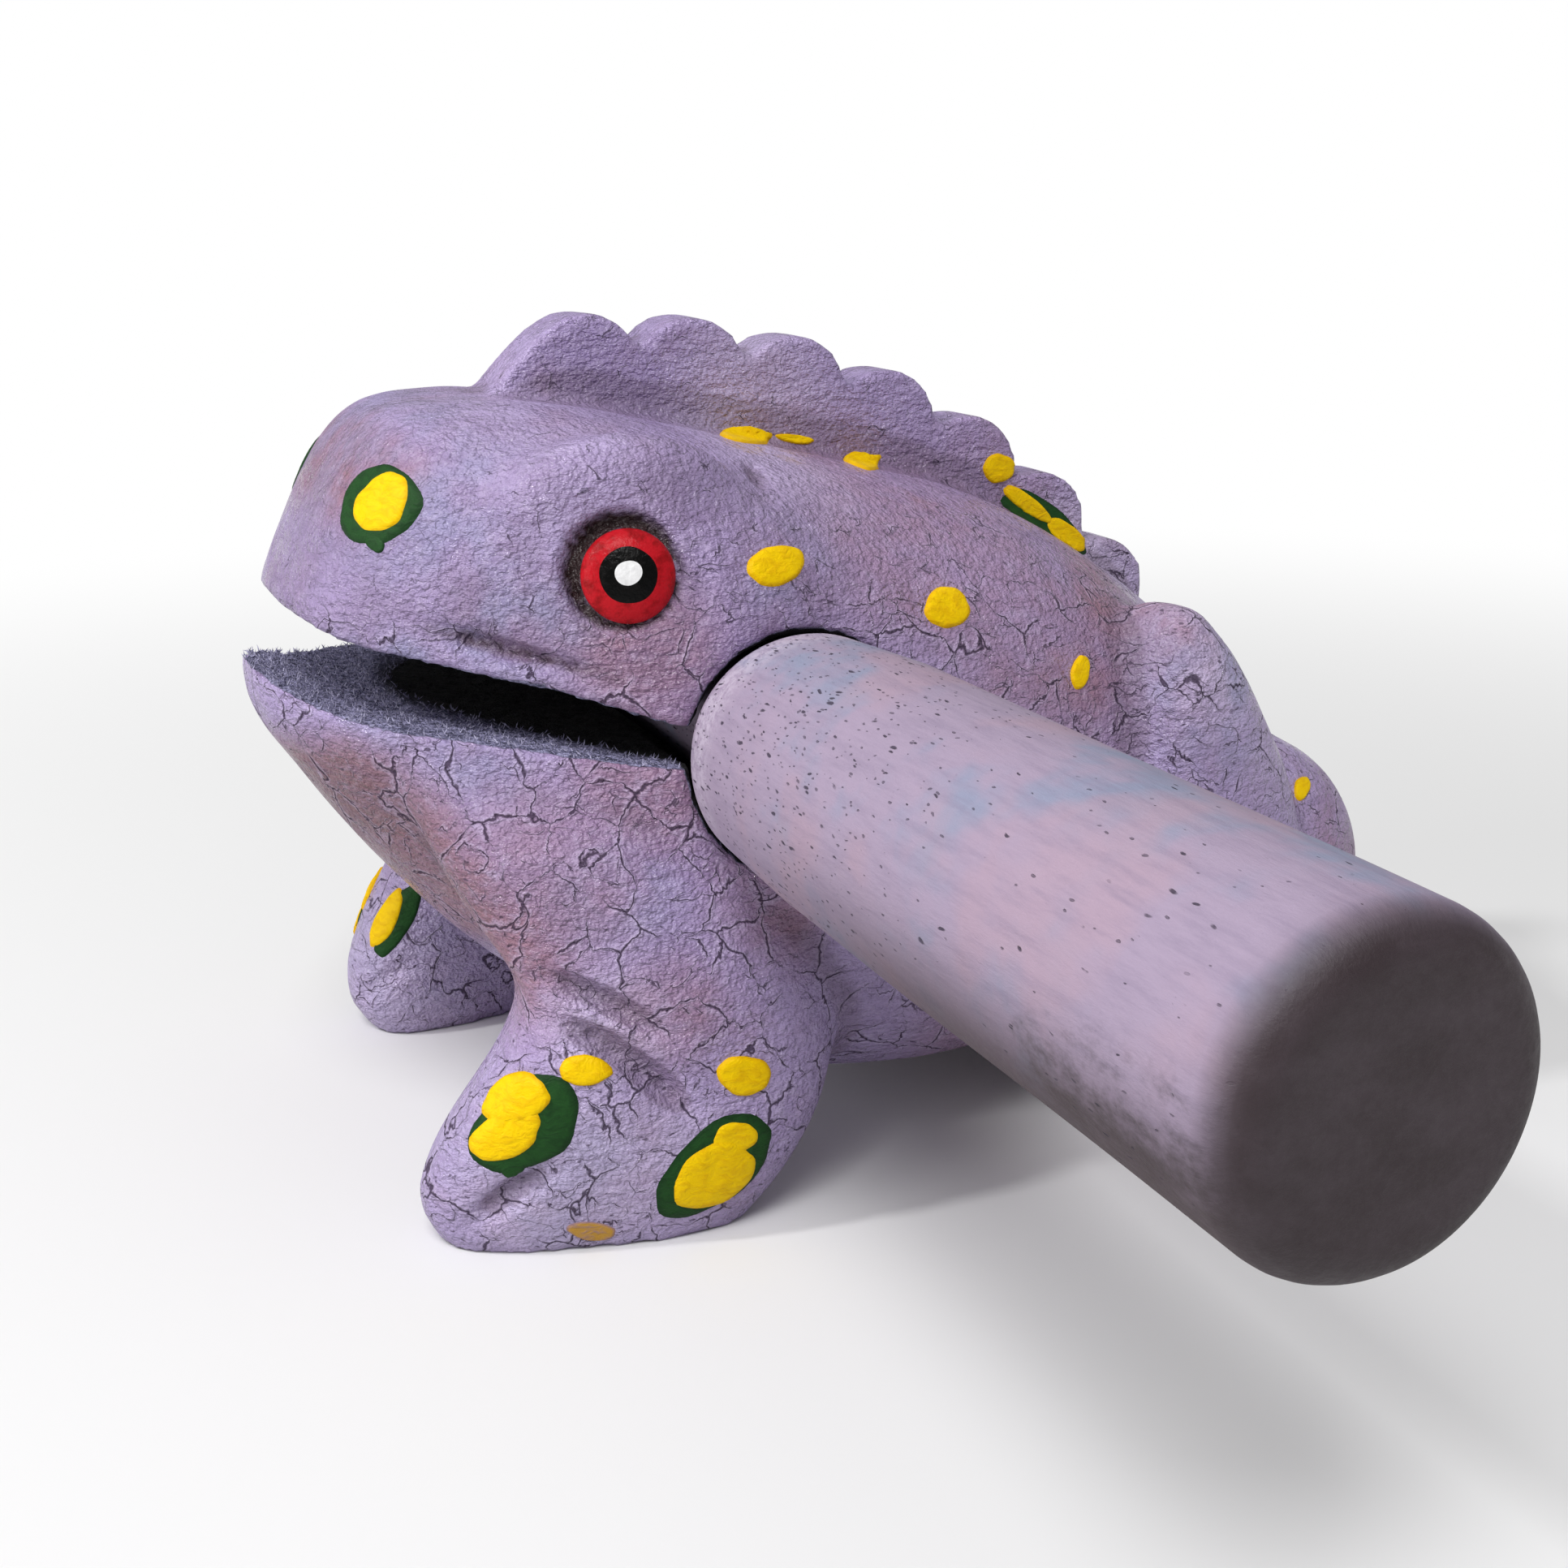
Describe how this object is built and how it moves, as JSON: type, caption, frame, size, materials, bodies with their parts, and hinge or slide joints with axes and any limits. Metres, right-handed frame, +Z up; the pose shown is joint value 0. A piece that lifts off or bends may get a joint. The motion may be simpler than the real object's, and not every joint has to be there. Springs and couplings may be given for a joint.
{
  "type": "frog guiro",
  "caption": "Carved wooden frog scraper with a scalloped rasp along its back, a sawn mouth open into a cross bore, and a turned striker stored in the bore.",
  "frame": {"origin": "centre of the footprint of frog and stored striker together, on the plane of the soles", "axes": "+Z up from the soles, -Y the way the nose points, +X the way the striker's head sticks out, which is the frog's left"},
  "size_m": [0.125, 0.1, 0.0682],
  "materials": {
    "frog_paint": "lavender crackle paint under thin gloss varnish",
    "striker_wash": "matte lavender wash on open-pored wood"
  },
  "bodies": {
    "root": {"frog_body": "frog_paint", "striker": "striker_wash"}
  },
  "joints": []
}
